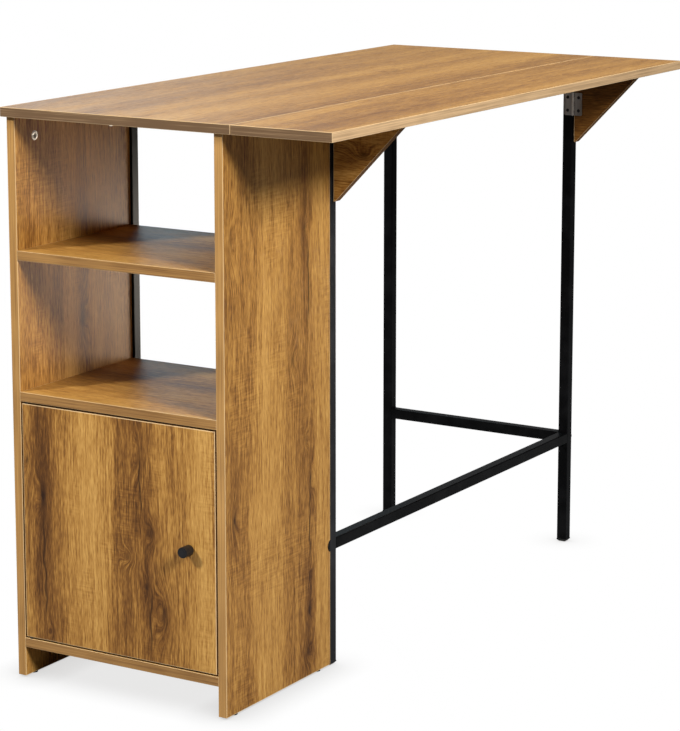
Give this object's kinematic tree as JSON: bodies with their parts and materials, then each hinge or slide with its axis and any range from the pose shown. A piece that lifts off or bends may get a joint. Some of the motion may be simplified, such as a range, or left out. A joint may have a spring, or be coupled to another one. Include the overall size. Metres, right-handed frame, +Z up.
{
  "type": "kitchen table with storage cabinet",
  "caption": "Counter-height kitchen table with a drop leaf on swing brackets, a steel frame and a side cabinet with open shelves and a door.",
  "frame": {"origin": "bottom centre of the whole table, on the floor", "axes": "+X along the table away from the cabinet, whose door faces -X; the drop leaf is on the -Y side; +Z up"},
  "size_m": [1.21, 0.6, 0.915],
  "materials": {
    "top_board": "satin wood-print board, grain along the table",
    "cabinet_board": "satin wood-print board, upright grain",
    "bracket_board": "satin wood-print board, level grain",
    "hardboard": "smooth hardboard",
    "black_steel": "fine satin powder coat",
    "knob_metal": "matt black coat",
    "black_plastic": "moulded",
    "pale_plastic": "moulded",
    "hinge_steel": "zinc plated",
    "screw_steel": "plated",
    "zinc": "die-cast",
    "magnet": "sintered ferrite"
  },
  "bodies": {
    "cabinet_and_frame": {"fixed_top": "top_board", "left_side_panel": "cabinet_board", "right_side_panel": "cabinet_board", "upper_shelf": "cabinet_board", "middle_shelf": "cabinet_board", "bottom_panel": "cabinet_board", "back_panel": "hardboard", "near_front_post": "black_steel", "near_rear_post": "black_steel", "far_front_leg": "black_steel", "far_rear_leg": "black_steel", "near_top_cross_rail": "black_steel", "far_top_cross_rail": "black_steel", "far_low_cross_rail": "black_steel", "top_front_rail": "black_steel", "top_rear_rail": "black_steel", "low_front_rail": "black_steel", "rail_bolts": "black_steel", "near_front_end_cap": "black_plastic", "near_rear_end_cap": "black_plastic", "far_front_end_cap": "black_plastic", "far_rear_end_cap": "black_plastic", "left_panel_glides": "pale_plastic", "right_panel_glides": "pale_plastic", "upper_pivot_bush": "pale_plastic", "lower_pivot_bush": "pale_plastic", "catch_body": "pale_plastic", "leaf_hinge_fixed_flanges": "hinge_steel", "near_hinge_frame_flange": "hinge_steel", "far_hinge_frame_flange": "hinge_steel", "leaf_hinge_pins": "hinge_steel", "near_hinge_pin": "hinge_steel", "far_hinge_pin": "hinge_steel", "leaf_hinge_top_screws": "screw_steel", "frame_hinge_screws": "screw_steel", "post_screws": "screw_steel", "top_screws": "screw_steel", "catch_screws": "screw_steel", "top_cam_locks": "zinc", "shelf_cam_locks": "zinc", "top_cam_dowels": "zinc", "shelf_cam_dowels": "zinc", "rail_end_nuts": "zinc", "catch_magnet": "magnet"},
    "leaf": {"drop_leaf": "top_board", "leaf_hinge_moving_flanges": "hinge_steel", "leaf_hinge_leaf_screws": "screw_steel"},
    "door_leaf": {"door": "cabinet_board", "door_knob": "knob_metal", "knob_screw": "screw_steel", "upper_pivot_pin": "hinge_steel", "lower_pivot_pin": "hinge_steel", "strike_plate": "hinge_steel", "strike_screw": "screw_steel"},
    "near_swing_bracket": {"near_bracket": "bracket_board", "near_hinge_bracket_flange": "hinge_steel", "near_bracket_screws": "screw_steel"},
    "far_swing_bracket": {"far_bracket": "bracket_board", "far_hinge_bracket_flange": "hinge_steel", "far_bracket_screws": "screw_steel"}
  },
  "joints": [
    {"name": "door_swing", "type": "hinge", "parent": "cabinet_and_frame", "child": "door_leaf", "pos_m": [-0.58, 0.2695, 0.26], "axis": [0, 0, -1], "range_deg": [0, 110]},
    {"name": "near_bracket_swing", "type": "hinge", "parent": "cabinet_and_frame", "child": "near_swing_bracket", "pos_m": [-0.264, -0.107, 0.8297], "axis": [0, 0, 1], "range_deg": [0, 90]},
    {"name": "far_bracket_swing", "type": "hinge", "parent": "cabinet_and_frame", "child": "far_swing_bracket", "pos_m": [0.558, -0.107, 0.8297], "axis": [0, 0, -1], "range_deg": [0, 90]},
    {"name": "leaf_lift", "type": "hinge", "parent": "cabinet_and_frame", "child": "leaf", "pos_m": [0, -0.1255, 0.898], "axis": [-1, 0, 0], "range_deg": [0, 3]}
  ]
}
